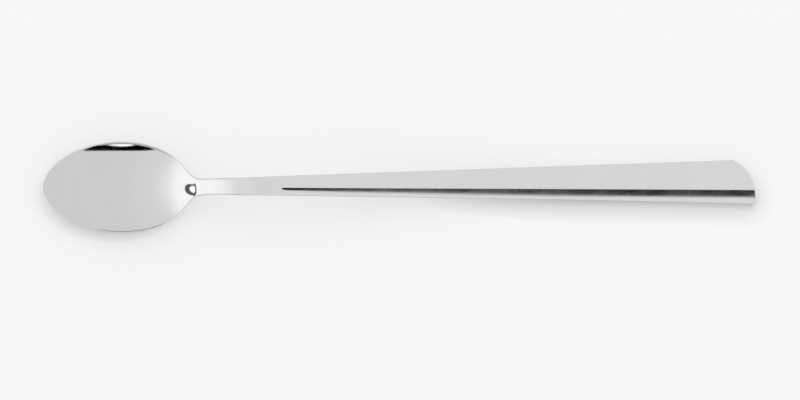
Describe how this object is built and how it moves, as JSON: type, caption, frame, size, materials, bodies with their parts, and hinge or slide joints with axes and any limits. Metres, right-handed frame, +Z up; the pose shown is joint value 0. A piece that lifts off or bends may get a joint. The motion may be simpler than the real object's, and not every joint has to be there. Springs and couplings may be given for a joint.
{
  "type": "iced tea spoon",
  "caption": "Long-handled stirring spoon with an egg-shaped bowl, a slim neck and a faceted handle with a round-cut end.",
  "frame": {"origin": "on the table, under the middle of the spoon's length and on the bowl's axis", "axes": "+X along the spoon from the bowl to the handle's end, +Z up out of the bowl, +Y across towards the handle's straight edge"},
  "size_m": [0.195, 0.0252, 0.0158],
  "materials": {
    "polished_steel": "mirror-polished stainless steel"
  },
  "bodies": {
    "root": {"bowl": "polished_steel", "handle": "polished_steel"}
  },
  "joints": []
}
